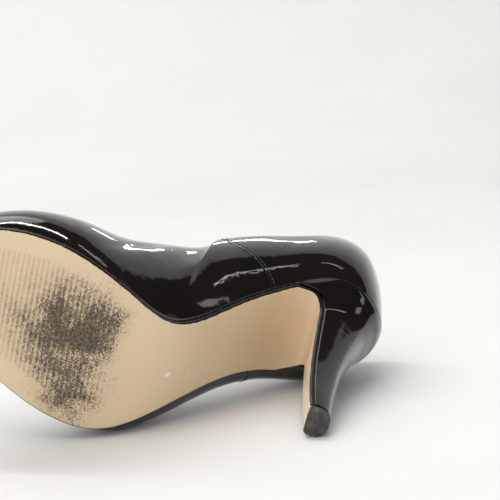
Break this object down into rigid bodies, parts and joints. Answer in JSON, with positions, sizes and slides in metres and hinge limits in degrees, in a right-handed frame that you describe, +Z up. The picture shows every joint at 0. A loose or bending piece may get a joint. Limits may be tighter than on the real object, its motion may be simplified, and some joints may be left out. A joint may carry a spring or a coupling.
{
  "type": "high heel pump",
  "caption": "Closed-toe court shoe with a slim high heel, a tan sole that runs down the heel breast, glossy upper and lining.",
  "frame": {"origin": "centre of the bounding box in plan, at the floor the shoe stands on", "axes": "+Z up, toe towards -Y, heel towards +Y, +X towards the medial side of this right shoe"},
  "size_m": [0.0938, 0.2082, 0.1402],
  "materials": {
    "patent": "high-gloss black patent",
    "sole": "smooth tan, satin, black painted edge",
    "lining": "smooth beige",
    "board": "matt fibreboard",
    "foam": "matt latex foam with a cloth face",
    "stiffener": "matt thermoplastic sheet",
    "rubber": "dark grey, scuffed",
    "plastic": "moulded plastic",
    "steel": "bright drawn steel"
  },
  "bodies": {
    "root": {"outsole": "sole", "heel_block": "plastic", "heel_cover": "patent", "heel_tube": "steel", "top_piece_pin": "steel", "top_piece": "rubber", "heel_screw": "steel", "heel_nail_1": "steel", "heel_nail_2": "steel", "heel_nail_3": "steel", "heel_nail_4": "steel", "shank_rivet_front": "steel", "shank_rivet_rear": "steel", "shank": "steel", "insole_board": "board", "bottom_filler": "board", "sock_cushion": "foam", "sock": "lining", "vamp": "patent", "medial_quarter": "patent", "lateral_quarter": "patent", "toe_puff": "stiffener", "heel_counter": "stiffener", "topline_tape": "lining", "vamp_lining": "lining", "medial_quarter_lining": "lining", "lateral_quarter_lining": "lining", "heel_grip": "lining"}
  },
  "joints": []
}
